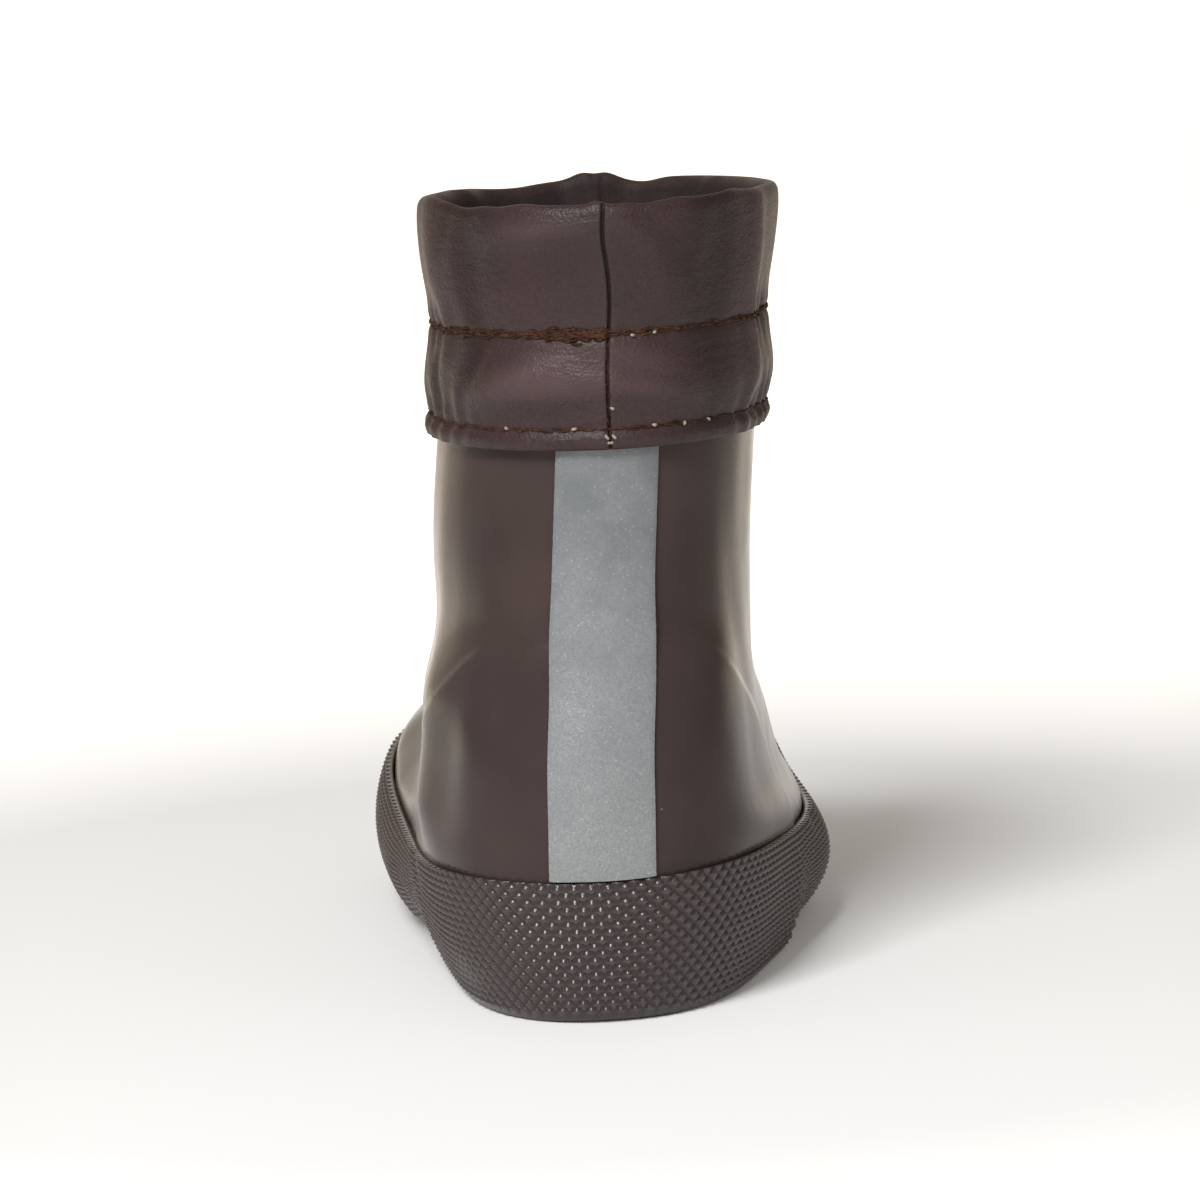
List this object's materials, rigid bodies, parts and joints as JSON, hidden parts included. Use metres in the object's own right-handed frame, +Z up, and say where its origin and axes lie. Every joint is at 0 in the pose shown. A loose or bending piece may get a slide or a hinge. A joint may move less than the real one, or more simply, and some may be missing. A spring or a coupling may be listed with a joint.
{
  "type": "rubber boot",
  "caption": "Child's short rubber boot for the right foot, with a knurled cup sole, a reflective stripe down the back and a soft cuff folded over its shaft.",
  "frame": {"origin": "on the floor, in the middle of the boot's box", "axes": "+Y from heel to toe, +X to the outer side of the right foot, +Z up"},
  "size_m": [0.0799, 0.1721, 0.1288],
  "materials": {
    "sole_rubber": "moulded, knurled",
    "upper_rubber": "smooth, semi-gloss",
    "insole_foam": "matte foam with a cloth face",
    "reflective_tape": "matte, beaded",
    "coated_cloth": "fine grain, soft sheen"
  },
  "bodies": {
    "root": {"outsole": "sole_rubber", "upper": "upper_rubber", "insole": "insole_foam", "reflective_stripe": "reflective_tape", "cuff": "coated_cloth"}
  },
  "joints": []
}
